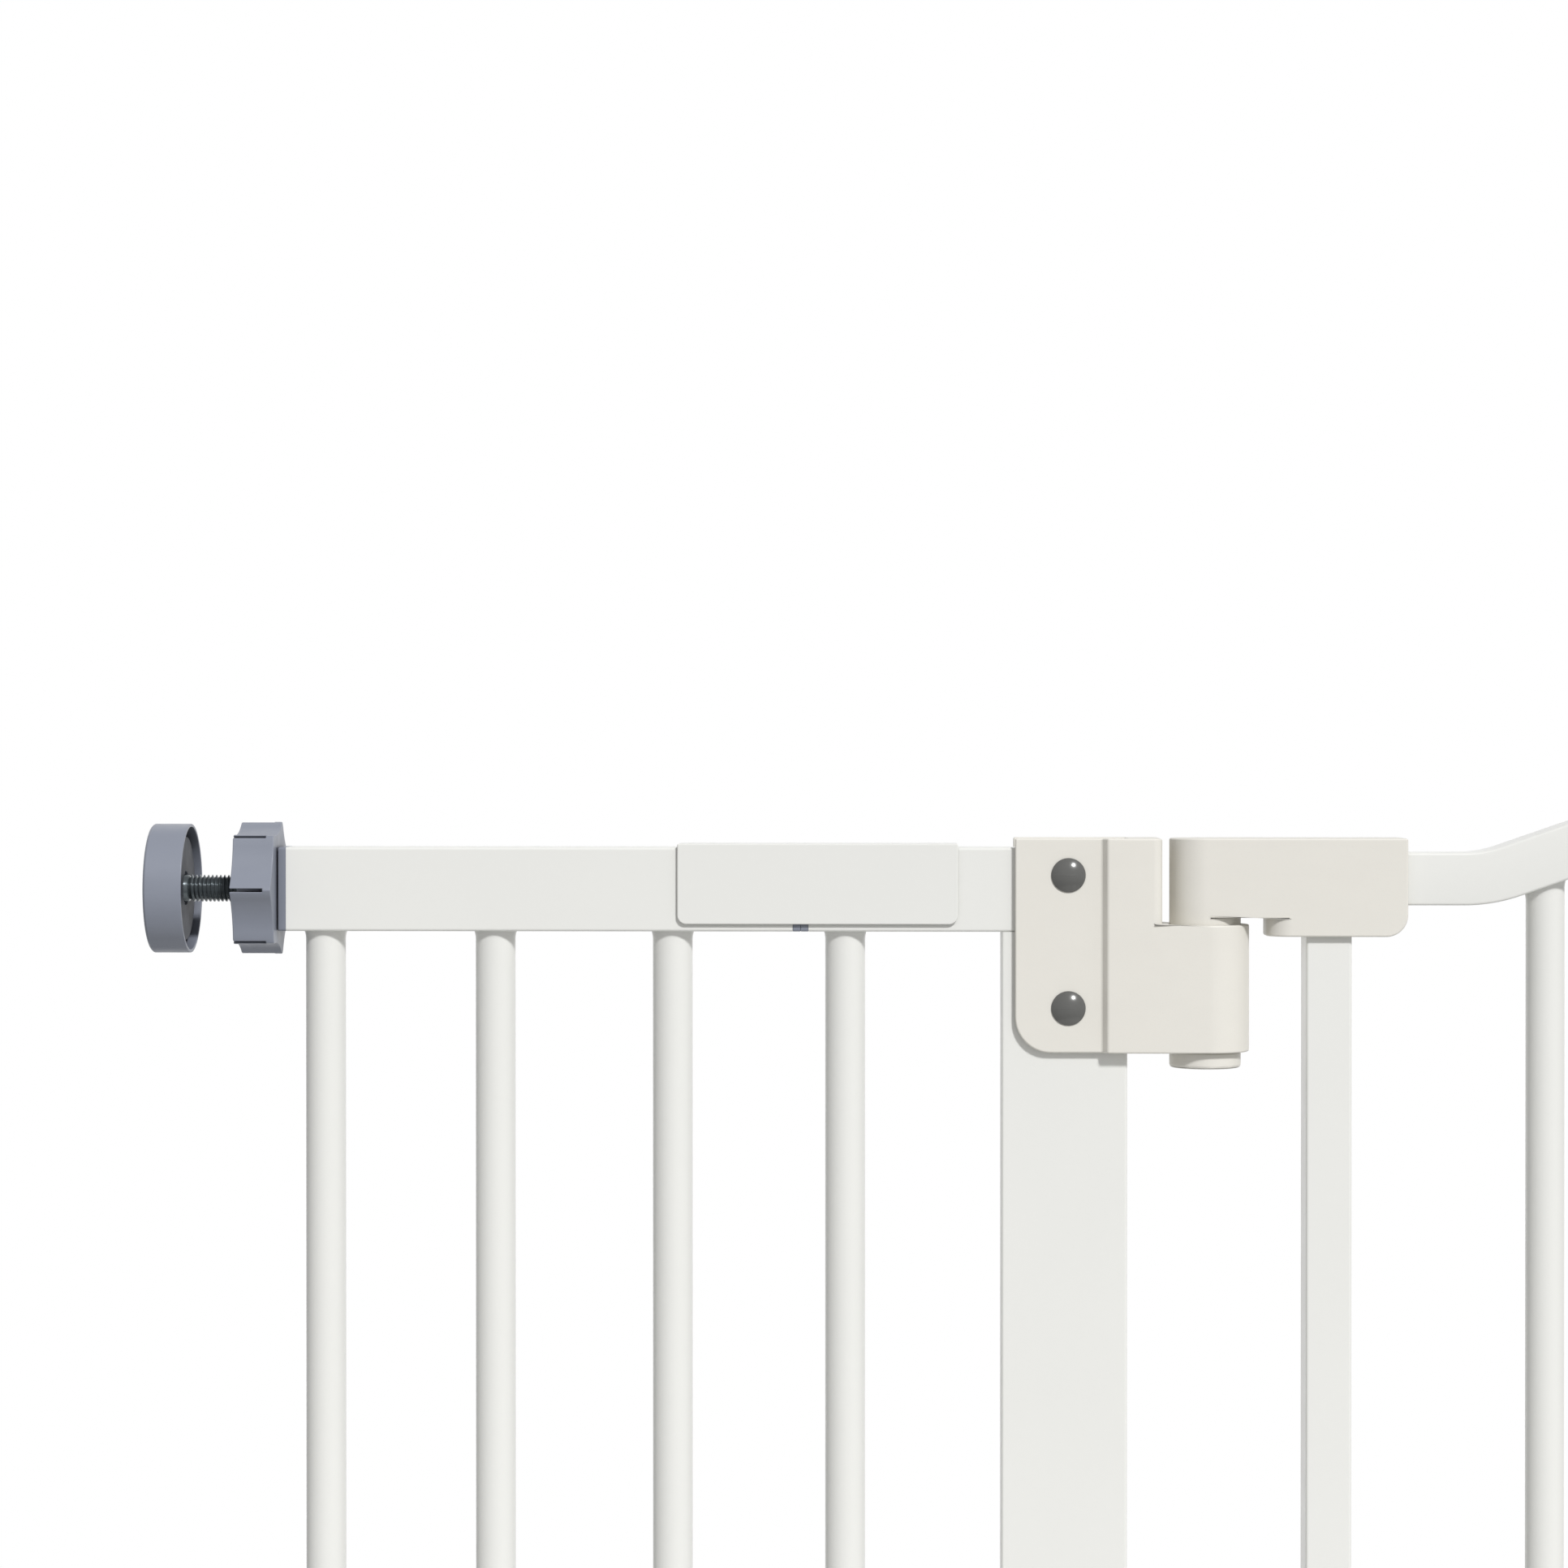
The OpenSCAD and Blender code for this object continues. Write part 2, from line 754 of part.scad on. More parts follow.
// A disc that keeps each pin in its knuckle
module hinge_caps() {
    bevel = 0.8;
    hole_r = cap_screw_r + 2 * slack;
    recess_r = cap_head_r + 2 * slack;
    color("antiquewhite") at_hinges() translate([0, 0, pin_end - cap_t])
        rotate_extrude($fn = 96)
            polygon([
                [recess_r, 0], [cap_r - bevel, 0], [cap_r, bevel], [cap_r, cap_t],
                [hole_r, cap_t], [hole_r, cap_recess], [recess_r, cap_recess]
            ]);
}

module cap_screws() {
    cap_head_h = 1.8;
    in_pin = 12;
    shank = cap_t - cap_recess + in_pin;
    color("dimgray") at_hinges() translate([0, 0, pin_end - cap_t + cap_recess]) union() {
        translate([0, 0, -cap_head_h]) cylinder(r = cap_head_r, h = cap_head_h, $fn = 32);
        translate([0, 0, -e]) cylinder(r = cap_screw_r, h = shank, $fn = 32);
    }
}

// ---------- handle and lock ----------

// The handle's outline seen from the front, about the latch stile's centre and rail height
module handle_outline() {
    corner = 9;
    w = handle_out - handle_in;
    h = handle_up - handle_down;
    translate([handle_in + w / 2, handle_down + h / 2]) round_rect(w, h, corner);
}

// Room for the bolt, the slider's stem and the spring
module lock_hollows() {
    room = 0.5;
    back = stile_w / 2 + room;
    translate([back, -bolt_w / 2 - move_gap, -bolt_h / 2 - move_gap])
        cube([through, bolt_w + 2 * move_gap, bolt_h + 2 * move_gap]);
    translate([stem_x - stem_w / 2 - move_gap, -stem_d / 2 - move_gap, 0])
        cube([stem_w + bolt_travel + 2 * move_gap, stem_d + 2 * move_gap, through]);
    translate([back, -spring_w / 2 - room, spring_z])
        cube([spring_len + 2 * room, spring_w + 2 * room, -bolt_h / 2 - spring_z + 1]);
}

module handle_screw_holes() {
    for (p = handle_screw_at) translate([p[0], screw_end, p[1]]) rotate([90, 0, 0]) {
        cylinder(r = handle_screw_r + slack, h = through, $fn = 32);
        translate([0, 0, screw_end - screw_seat])
            cylinder(r = handle_head_r + 2 * slack, h = through, $fn = 32);
    }
}

module handle_half(y0, y1) {
    color("antiquewhite") translate([stile_x1, 0, top_rail_z]) difference() {
        plate_xz(y0, y1) handle_outline();
        mirror([1, 0, 0]) corner_sockets();
        lock_hollows();
        handle_screw_holes();
    }
}

module handle_front() { handle_half(-handle_t, 0); }

module handle_rear() { handle_half(0, handle_t); }

module handle_screws() {
    color("dimgray") for (p = handle_screw_at)
        translate([stile_x1 + p[0], screw_end, top_rail_z + p[1]]) rotate([90, 0, 0]) union() {
            cylinder(r = handle_screw_r, h = screw_end - screw_seat + e, $fn = 32);
            translate([0, 0, screw_end - screw_seat])
                cylinder(r = handle_head_r, h = 2, $fn = 32);
        }
}

// A bowed strip under the bolt that gives the slider its two stops
module detent_spring() {
    t = 0.5;
    bow = 3.7;
    color("silver") translate([stile_x1 + spring_back, 0, top_rail_z + spring_z])
        plate_xz(-spring_w / 2, spring_w / 2)
            polygon([
                [0, 0], [spring_len, 0], [spring_len, t], [13, t], [10.5, bow],
                [8.5, bow], [6, t], [0, t]
            ]);
}

module lock_bolt() {
    set_back = 0.4;
    nose = 2;
    x0 = bolt_back;
    x1 = handle_out - set_back;
    color("slategray") translate([stile_x1, 0, top_rail_z]) linear_extrude(bolt_h, center = true)
        polygon([
            [x0, -bolt_w / 2], [x1 - nose, -bolt_w / 2], [x1, -bolt_w / 2 + nose],
            [x1, bolt_w / 2 - nose], [x1 - nose, bolt_w / 2], [x0, bolt_w / 2]
        ]);
}

// The thumb slider, with grip ribs and a stem down to the bolt
module lock_slider() {
    lift = 0.4;
    z0 = handle_up + lift;
    x0 = -10;
    l = 23;
    w = 16;
    side_h = 2.2;
    top_h = 3.6;
    slope = 2.5;
    rib = [1.2, 13, 0.9];
    rib_step = 4;
    color("slategray") translate([stile_x1, 0, top_rail_z]) union() {
        translate([x0, 0, z0]) plate_xz(-w / 2, w / 2) polygon([
            [0, 0], [l, 0], [l, side_h], [l - slope, top_h], [slope, top_h], [0, side_h]
        ]);
        for (k = [-1.5:1.5])
            translate([x0 + l / 2 + rib_step * k - rib[0] / 2, -rib[1] / 2, z0 + top_h - e])
                cube(rib);
        translate([stem_x - stem_w / 2, -stem_d / 2, bolt_h / 2])
            cube([stem_w, stem_d, z0 - bolt_h / 2 + e]);
    }
}

// ---------- assembly ----------

hinge_post();
latch_post();
threshold_rail();
left_top_rail();
right_top_rail();
left_frame_bar();
right_frame_bar();
extension_top_rail();
extension_bottom_rail();
for (i = [0:len(ext_bars) - 1])
    extension_bar(i);
connector_cover_upper();
connector_cover_lower();
extension_plugs();
frame_plugs();
joining_rods();
hinge_bracket_upper();
hinge_bracket_lower();
hinge_bushes();
latch_keeper();
clamp_bolts();
clamp_nuts();
floor_feet();
hinge_stile();
latch_stile();
door_top_rail();
door_bottom_rail();
for (i = [0:door_bars - 1])
    door_bar(i);
hinge_arm_upper();
hinge_arm_lower();
hinge_caps();
cap_screws();
stile_cap();
handle_front();
handle_rear();
handle_screws();
detent_spring();
lock_slider();
lock_bolt();
for (i = [0:3]) {
    spindle_plug(i);
    hand_nut(i);
    spindle(i);
    wall_pad(i);
}
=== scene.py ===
"""Looks of the pressure-fitted stair gate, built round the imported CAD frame.

Tubes and inner pieces are the CAD nodes with better materials. Moulded and folded parts, the
wall pads among them, are copies of their nodes with rounded edges. The bars, the arched rail,
the spindles and the heads of the clamp screws are new meshes.
All lengths are in metres, in the CAD's frame: +X along the gate, +Y to the back and +Z up.
"""

import json
import math

import bmesh
import bpy
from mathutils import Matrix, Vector

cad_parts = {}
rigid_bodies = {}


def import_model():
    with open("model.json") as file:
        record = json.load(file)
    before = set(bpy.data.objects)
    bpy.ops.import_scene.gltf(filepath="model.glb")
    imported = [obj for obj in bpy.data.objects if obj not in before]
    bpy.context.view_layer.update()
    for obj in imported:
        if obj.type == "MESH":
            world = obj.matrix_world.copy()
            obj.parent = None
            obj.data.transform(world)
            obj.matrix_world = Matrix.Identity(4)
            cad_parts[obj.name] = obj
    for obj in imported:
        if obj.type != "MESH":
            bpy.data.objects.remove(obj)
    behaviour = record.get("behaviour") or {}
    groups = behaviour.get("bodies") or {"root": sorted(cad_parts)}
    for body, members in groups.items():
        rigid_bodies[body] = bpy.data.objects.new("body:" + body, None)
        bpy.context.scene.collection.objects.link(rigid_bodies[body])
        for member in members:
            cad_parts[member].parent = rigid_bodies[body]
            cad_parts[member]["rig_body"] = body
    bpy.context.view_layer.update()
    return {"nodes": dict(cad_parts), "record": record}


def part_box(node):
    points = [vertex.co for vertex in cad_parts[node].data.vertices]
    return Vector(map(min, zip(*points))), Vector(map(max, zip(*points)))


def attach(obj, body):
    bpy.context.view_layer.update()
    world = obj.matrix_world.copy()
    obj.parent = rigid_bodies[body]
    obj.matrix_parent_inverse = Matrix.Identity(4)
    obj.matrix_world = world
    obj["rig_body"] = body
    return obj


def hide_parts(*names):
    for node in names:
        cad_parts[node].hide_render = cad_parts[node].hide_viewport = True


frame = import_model()

MM = 0.001
SIDES = ("upper_left", "lower_left", "upper_right", "lower_right")


def body_of_node(node):
    """The CAD body that a node belongs to."""
    return frame["nodes"][node]["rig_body"]


# ---------- materials ----------

# How far from other faces painted shade reaches into corners, on paint and on plastic
PAINT_SHADE_REACH = 5 * MM
PLASTIC_SHADE_REACH = 9 * MM
# How much painted shade darkens the paint's corners
PAINT_SHADE_DEPTH = 0.15
# The painted shade fades from full to none between these shares of free space around a point
PAINTED_SHADE_FADE = (0.35, 0.95)
PAINTED_SHADE_SAMPLES = 8


def srgb(r, g, b):
    """A linear colour from 8-bit sRGB values."""
    def linear(v):
        v = v / 255
        return v / 12.92 if v <= 0.04045 else ((v + 0.055) / 1.055) ** 2.4

    return (linear(r), linear(g), linear(b), 1.0)


def shaded(colour, factor):
    """The same colour, lighter or darker."""
    return (*[min(1.0, c * factor) for c in colour[:3]], 1.0)


class Nodes:
    """The node tree of a material or a world."""

    def __init__(self, owner):
        owner.use_nodes = True
        self.tree = owner.node_tree

    def feed(self, socket, value):
        """Sets a socket to a plain value, or links another node's output to it."""
        if isinstance(value, bpy.types.NodeSocket):
            self.tree.links.new(value, socket)
        else:
            socket.default_value = value

    def add(self, kind, output, inputs, **settings):
        """Adds a node with the given inputs and settings, and returns one of its outputs."""
        node = self.tree.nodes.new("ShaderNode" + kind)
        for name, value in settings.items():
            setattr(node, name, value)
        for name, value in inputs.items():
            self.feed(node.inputs[name], value)
        return node.outputs[output]


class Surface(Nodes):
    """A Principled material under construction, with object coordinates in metres."""

    def __init__(self, name, metallic=0.0, specular=0.5, ior=1.5):
        self.material = bpy.data.materials.new(name)
        super().__init__(self.material)
        self.shader = self.tree.nodes["Principled BSDF"]
        self.feed(self.shader.inputs["Metallic"], metallic)
        self.feed(self.shader.inputs["Specular IOR Level"], specular)
        self.feed(self.shader.inputs["IOR"], ior)
        self.coordinates = self.add("TexCoord", "Object", {})
        self.normal = None

    def scaled(self, size, stretch=(1, 1, 1)):
        """Coordinates with size metres as their unit, stretched along an axis if asked."""
        scale = [1 / (size * s) for s in stretch]
        return self.add("Mapping", "Vector", {"Vector": self.coordinates, "Scale": scale})

    def noise(self, size, detail=2.0, stretch=(1, 1, 1)):
        """Noise whose blobs are about size metres across."""
        where = self.scaled(size, stretch)
        return self.add("TexNoise", "Fac", {"Vector": where, "Scale": 1.0, "Detail": detail})

    def grain(self, size):
        """Cells about size metres across, as a spark-eroded mould leaves."""
        where = self.scaled(size)
        return self.add("TexVoronoi", "Distance", {"Vector": where, "Scale": 1.0},
                        feature="SMOOTH_F1")

    def spread(self, value, low, high, within=(0.3, 0.7)):
        """Maps a texture's values within a part of 0 to 1 onto low to high."""
        return self.add("MapRange", "Result", {
            "Value": value, "From Min": within[0], "From Max": within[1],
            "To Min": low, "To Max": high,
        })

    def mixed(self, factor, first, second, blend="MIX"):
        """A colour made of first and second; each is a colour or another node's output."""
        return self.add("Mix", "Result", {"Factor": factor, "A": first, "B": second},
                        data_type="RGBA", blend_type=blend)

    def with_painted_shade(self, colour, depth, reach):
        """Paints shade into a colour, darkening it by depth, 0 to 1, within reach of other faces.
        """
        free_space = self.add("AmbientOcclusion", "AO", {"Distance": reach},
                              samples=PAINTED_SHADE_SAMPLES)
        unshaded_share = self.spread(free_space, 1 - depth, 1, PAINTED_SHADE_FADE)
        return self.mixed(1, colour, unshaded_share, blend="MULTIPLY")

    def colour(self, output):
        """Gives the shader its colour."""
        self.feed(self.shader.inputs["Base Color"], output)

    def roughness(self, output):
        """Gives the shader its roughness."""
        self.feed(self.shader.inputs["Roughness"], output)

    def bump(self, height, distance):
        """Adds relief; height runs from 0 to 1 over distance metres."""
        below = {} if self.normal is None else {"Normal": self.normal}
        self.normal = self.add("Bump", "Normal", {"Distance": distance, "Height": height, **below})
        self.feed(self.shader.inputs["Normal"], self.normal)


def powder_coat(name, colour):
    """Semi-gloss white powder coat over steel: orange peel, thickness that varies a little, and
    painted shade near other faces.
    """
    s = Surface(name)
    thickness = s.noise(60 * MM, detail=3)
    speck = s.noise(0.9 * MM, detail=1)
    sheen = s.noise(9 * MM, detail=3)
    orange_peel = s.noise(1.8 * MM, detail=2)
    powder = s.noise(0.35 * MM, detail=1)
    tone = s.mixed(s.spread(thickness, 0, 1), shaded(colour, 0.994), shaded(colour, 1.004))
    specked = s.mixed(s.spread(speck, 0, 0.25, (0.62, 0.8)), tone, shaded(colour, 0.975))
    # Painted shade: the paint is darkened where other faces are near
    s.colour(s.with_painted_shade(specked, PAINT_SHADE_DEPTH, PAINT_SHADE_REACH))
    s.roughness(s.spread(sheen, 0.29, 0.34))
    s.bump(orange_peel, 0.012 * MM)
    s.bump(powder, 0.003 * MM)
    return s.material


def moulded(name, colour, rough, painted_shade, drift=0.03):
    """Satin moulded plastic: fine mould grain, faint flow marks, a slight drift of colour and
    painted shade near other faces.
    """
    s = Surface(name, ior=1.46)
    flow = s.noise(24 * MM, detail=4, stretch=(1, 1, 0.35))
    speck = s.noise(0.5 * MM, detail=1)
    sheen = s.noise(5 * MM, detail=3)
    sink_marks = s.noise(14 * MM, detail=2)
    tone = s.mixed(s.spread(flow, 0, 1), shaded(colour, 1 - drift), shaded(colour, 1 + drift / 2))
    specked = s.mixed(s.spread(speck, 0, 0.3, (0.6, 0.8)), tone, shaded(colour, 0.9))
    # Painted shade: the plastic is darkened where other faces are near
    s.colour(s.with_painted_shade(specked, painted_shade, PLASTIC_SHADE_REACH))
    s.roughness(s.spread(sheen, rough - 0.05, rough + 0.05))
    s.bump(s.grain(0.35 * MM), 0.006 * MM)
    s.bump(sink_marks, 0.03 * MM)
    return s.material


def steel(name, colour, rough, metallic=0.85, rub=1.5, tooling=(1, 1, 1)):
    """Oxidised or plated steel with rubbed patches; tooling stretches its fine tool marks."""
    s = Surface(name, metallic=metallic)
    rubbed = s.noise(4 * MM, detail=5)
    tool_marks = s.noise(0.3 * MM, detail=2, stretch=tooling)
    s.colour(s.mixed(s.spread(rubbed, 0, 1, (0.42, 0.7)), colour, shaded(colour, rub)))
    s.roughness(s.spread(rubbed, rough + 0.04, rough - 0.03))
    s.bump(tool_marks, 0.002 * MM)
    return s.material


def rubber(name, colour):
    """Matt rubber with a dusty bloom."""
    s = Surface(name, specular=0.3)
    bloom = s.noise(7 * MM, detail=5)
    s.colour(s.mixed(s.spread(bloom, 0, 0.6, (0.45, 0.75)), colour, shaded(colour, 1.5)))
    s.roughness(s.spread(bloom, 0.7, 0.85))
    s.bump(s.grain(0.5 * MM), 0.03 * MM)
    return s.material


def acetal(name, colour):
    """Slick bush plastic, slightly waxy."""
    s = Surface(name)
    cloud = s.noise(6 * MM, detail=3)
    skin = s.noise(0.4 * MM)
    s.colour(s.mixed(s.spread(cloud, 0, 1), shaded(colour, 0.96), colour))
    s.roughness(s.spread(cloud, 0.22, 0.3))
    s.bump(skin, 0.002 * MM)
    return s.material


MATERIALS = {
    "rail_paint": powder_coat("rail_paint", srgb(241, 241, 237)),
    "bar_paint": powder_coat("bar_paint", srgb(240, 240, 236)),
    # For the plastics, the value given after the roughness is painted shade: how much they are
    # darkened near other faces
    "cream_plastic": moulded("cream_plastic", srgb(236, 233, 225), 0.42, painted_shade=0.14, drift=0.008),
    "grey_plastic": moulded("grey_plastic", srgb(142, 147, 160), 0.38, painted_shade=0.35),
    # The pad's disc is painted dark for the shade inside its rim, and is duller
    "pad_disc_shade": moulded("pad_disc_shade", srgb(76, 79, 86), 0.6, painted_shade=0.6),
    "dark_steel": steel("dark_steel", srgb(94, 101, 105), 0.18, metallic=0.6, rub=1.2,
                        tooling=(1, 0.2, 0.2)),
    "screw_steel": steel("screw_steel", srgb(104, 104, 102), 0.2, metallic=0.1, rub=1.06),
    "spring_steel": steel("spring_steel", srgb(200, 202, 205), 0.24, tooling=(1, 0.2, 1)),
    "bush_plastic": acetal("bush_plastic", srgb(230, 228, 220)),
    "foot_rubber": rubber("foot_rubber", srgb(96, 101, 112)),
}

SLOT = {part["node"]: part["material_slot"] for part in frame["record"]["subparts"]}

for node, obj in frame["nodes"].items():
    for place in range(len(obj.data.materials)):
        obj.data.materials[place] = MATERIALS[SLOT[node]]


# ---------- pieces ----------

# Points of a CAD mesh closer than this are one point
SAME_POINT = 0.001 * MM
# Angles in degrees: faces that bend less are one flat face, and edges that bend more are sharp
FLAT_ANGLE = 0.5
SHARP_ANGLE = 35.0
ROUNDED_ANGLE = 30.0
ROUNDED_SEGMENTS = 3
SCREW_HOLE_R = 2.4 * MM


def finish_piece(name, mesh, node, sharp=SHARP_ANGLE):
    """Links a mesh as a piece that rides with a CAD node's body and stands for that node."""
    obj = bpy.data.objects.new(name, mesh)
    bpy.context.scene.collection.objects.link(obj)
    mesh.materials.clear()
    mesh.materials.append(MATERIALS[SLOT[node]])
    mesh.shade_smooth()
    mesh.set_sharp_from_angle(angle=math.radians(sharp))
    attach(obj, body_of_node(node))
    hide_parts(node)
    return obj


def mesh_from(bm, name):
    """A mesh with a bmesh's contents; the bmesh is freed."""
    mesh = bpy.data.meshes.new(name)
    bm.to_mesh(mesh)
    bm.free()
    return mesh


def clean_copy(node):
    """A node's mesh with its doubled points joined and its flat faces whole."""
    bm = bmesh.new()
    bm.from_mesh(frame["nodes"][node].data)
    bmesh.ops.remove_doubles(bm, verts=bm.verts, dist=SAME_POINT)
    bmesh.ops.dissolve_limit(bm, angle_limit=math.radians(FLAT_ANGLE), verts=bm.verts,
                             edges=bm.edges)
    return bm


def close_holes(bm, axes):
    """Fills the screw holes along Y whose axes are given, as (x, z) pairs."""
    bored = [v for v in bm.verts
             if any(math.hypot(v.co.x - x, v.co.z - z) < SCREW_HOLE_R for x, z in axes)]
    bmesh.ops.delete(bm, geom=bored, context="VERTS")
    bmesh.ops.holes_fill(bm, edges=[e for e in bm.edges if e.is_boundary], sides=0)
    bmesh.ops.recalc_face_normals(bm, faces=bm.faces)


def rounded(node, radius, closed_holes=()):
    """A node's copy with its sharp edges rounded to a radius."""
    bm = clean_copy(node)
    close_holes(bm, closed_holes)
    mesh = mesh_from(bm, node + "_rounded")
    flat_normals = mesh.attributes.get("custom_normal")
    if flat_normals is not None:
        mesh.attributes.remove(flat_normals)
    obj = finish_piece(node + "_rounded", mesh, node, ROUNDED_ANGLE)
    bevel = obj.modifiers.new("edges", "BEVEL")
    bevel.width = radius
    bevel.segments = ROUNDED_SEGMENTS
    bevel.limit_method = "ANGLE"
    bevel.angle_limit = math.radians(ROUNDED_ANGLE)
    bevel.use_clamp_overlap = False
    bevel.harden_normals = True
    return obj


def grid_mesh(name, rows, closed=True, capped=False):
    """A mesh from rows of points; each row is one ring, and caps close the first and last."""
    bm = bmesh.new()
    rings = [[bm.verts.new(point) for point in row] for row in rows]
    count = len(rows[0])
    for first, second in zip(rings, rings[1:]):
        for k in range(count if closed else count - 1):
            after = (k + 1) % count
            bm.faces.new((first[k], first[after], second[after], second[k]))
    if capped:
        bm.faces.new(rings[0])
        bm.faces.new(rings[-1])
    bmesh.ops.recalc_face_normals(bm, faces=bm.faces)
    return mesh_from(bm, name)


def joined(name, meshes, weld=0.0):
    """One mesh made of several, whose points closer than weld are joined."""
    bm = bmesh.new()
    for part in meshes:
        bm.from_mesh(part)
        bpy.data.meshes.remove(part)
    if weld:
        bmesh.ops.remove_doubles(bm, verts=bm.verts, dist=weld)
    return mesh_from(bm, name)


def ring(radius, count):
    """Points round a circle, as pairs."""
    turns = [2 * math.pi * k / count for k in range(count)]
    return [(radius * math.cos(t), radius * math.sin(t)) for t in turns]


def arc_points(centre, radius, start, stop, steps):
    """Points on an arc, from one angle in degrees to another."""
    angles = [math.radians(start + (stop - start) * k / steps) for k in range(steps + 1)]
    return [(centre[0] + radius * math.cos(a), centre[1] + radius * math.sin(a)) for a in angles]


def islands(node):
    """The boxes of a node's separate solids, each as (lo, hi)."""
    bm = clean_copy(node)
    grouped = set()
    boxes = []
    for first in bm.verts:
        if first in grouped:
            continue
        grouped.add(first)
        group = [first]
        for vert in group:
            for edge in vert.link_edges:
                other = edge.other_vert(vert)
                if other not in grouped:
                    grouped.add(other)
                    group.append(other)
        points = [v.co for v in group]
        boxes.append((Vector([min(p[k] for p in points) for k in range(3)]),
                      Vector([max(p[k] for p in points) for k in range(3)])))
    bm.free()
    return boxes


# ---------- round bars and the arched rail ----------

BAR_SEGMENTS = 64
FLARE_R = 0.6 * MM
FLARE_H = 3.2 * MM
FLARE_STEPS = 6
TUBE_CORNER = 1 * MM
CORNER_STEPS = 6
# How far from a node's front face its front points may lie
FRONT_SLACK = 0.01 * MM


def flare(height):
    """How far a weld flare stands out from its bar, at a height above the bar's end."""
    return FLARE_R * max(0.0, 1 - height / FLARE_H) ** 2


def bar_radius(node):
    """The radius of a bar above its lower weld collar."""
    lo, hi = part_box(node)
    return max(abs(v.co.y) for v in frame["nodes"][node].data.vertices
               if MM < v.co.z - lo.z < (hi.z - lo.z) / 2)


def round_bar(node, foot_at, head_at):
    """A bar with a concave flare at each end; foot_at and head_at give its ends' heights by x."""
    lo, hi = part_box(node)
    x, radius = (lo.x + hi.x) / 2, bar_radius(node)
    steps = [FLARE_H * k / FLARE_STEPS for k in range(FLARE_STEPS + 1)]
    rows = [[(x + c, s, end_at(x + c) + inward * height)
             for c, s in ring(radius + flare(height), BAR_SEGMENTS)]
            for end_at, inward, heights in ((foot_at, 1, steps), (head_at, -1, reversed(steps)))
            for height in heights]
    finish_piece(node + "_turned", grid_mesh(node + "_turned", rows), node)


def level_end(height):
    """A bar's end that has the same height at every x."""
    return lambda x: height


def outline_of_arch():
    """The arched rail's lower and upper lines, as matching points from left to right."""
    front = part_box("door_top_rail")[0].y + FRONT_SLACK
    # Rounding to a micrometre makes doubled points one
    points = sorted({(round(v.co.x, 6), round(v.co.z, 6))
                     for v in frame["nodes"]["door_top_rail"].data.vertices if v.co.y < front})
    lower, upper = [points[0]], [points[1]]
    for x, z in points[2:]:
        # Each point goes to the line that it leaves less steeply
        under = abs(z - lower[-1][1]) / (abs(x - lower[-1][0]) + MM)
        over = abs(z - upper[-1][1]) / (abs(x - upper[-1][0]) + MM)
        (lower if under < over else upper).append((x, z))
    return lower, upper


ARCH_LOWER, ARCH_UPPER = outline_of_arch()


def under_arch(x):
    """The height of the arched rail's lower face."""
    for (x0, z0), (x1, z1) in zip(ARCH_LOWER, ARCH_LOWER[1:]):
        if x0 <= x <= x1:
            return z0 + (z1 - z0) * (x - x0) / (x1 - x0)
    raise ValueError("no arch over x = %g" % x)


def arched_rail():
    """The door's arched rail, swept with rounded edges."""
    half_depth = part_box("door_top_rail")[1].y
    height = (Vector(ARCH_UPPER[0]) - Vector(ARCH_LOWER[0])).length
    section = []
    for y, s, start in ((1, 1, 0), (-1, 1, 90), (-1, -1, 180), (1, -1, 270)):
        centre = (y * (half_depth - TUBE_CORNER), s * (height / 2 - TUBE_CORNER))
        section += arc_points(centre, TUBE_CORNER, start, start + 90, CORNER_STEPS)
    rows = []
    for below, above in zip(ARCH_LOWER, ARCH_UPPER):
        below, above = Vector((below[0], 0, below[1])), Vector((above[0], 0, above[1]))
        rows.append([below.lerp(above, 0.5 + s / height) + Vector((0, y, 0)) for y, s in section])
    finish_piece("arched_rail", grid_mesh("arched_rail", rows, capped=True), "door_top_rail")


arched_rail()
for node in frame["nodes"]:
    if node.startswith(("extension_bar", "left_frame_bar", "right_frame_bar", "door_bar")):
        lo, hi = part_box(node)
        head = under_arch if node.startswith("door_bar") else level_end(hi.z)
        round_bar(node, level_end(lo.z), head)


# ---------- wall fittings ----------

PITCH = 1.5 * MM
THREAD_DEPTH = 0.92 * MM
THREAD_SEGMENTS = 32
# A thread's corners: how far along the pitch and how far down from the crest each one lies
THREAD = ((0.0, 1.0), (0.25, 1.0), (0.5625, 0.0), (0.6875, 0.0))
# The thread runs out this far before the collar
THREAD_RUNOUT = 0.4 * PITCH
# The thread's corners bend less than this, in degrees, and are shaded smooth
THREAD_SHARP_ANGLE = 75
THREAD_WELD = 0.002 * MM
# How far inside the pad's rim the thread ends, and the chamfer of the plain part after it
COLLAR_IN = 0.5 * MM
COLLAR_EDGE = 0.45 * MM
# The wall pad's disc, duller and painted dark for the shade inside its rim, lies between its
# recess and its rim
PAD_DISC_R = 19.5 * MM
PAD_RECESS_R = 8 * MM
NUT_EDGE = 0.35 * MM
FINE_EDGE = 0.3 * MM


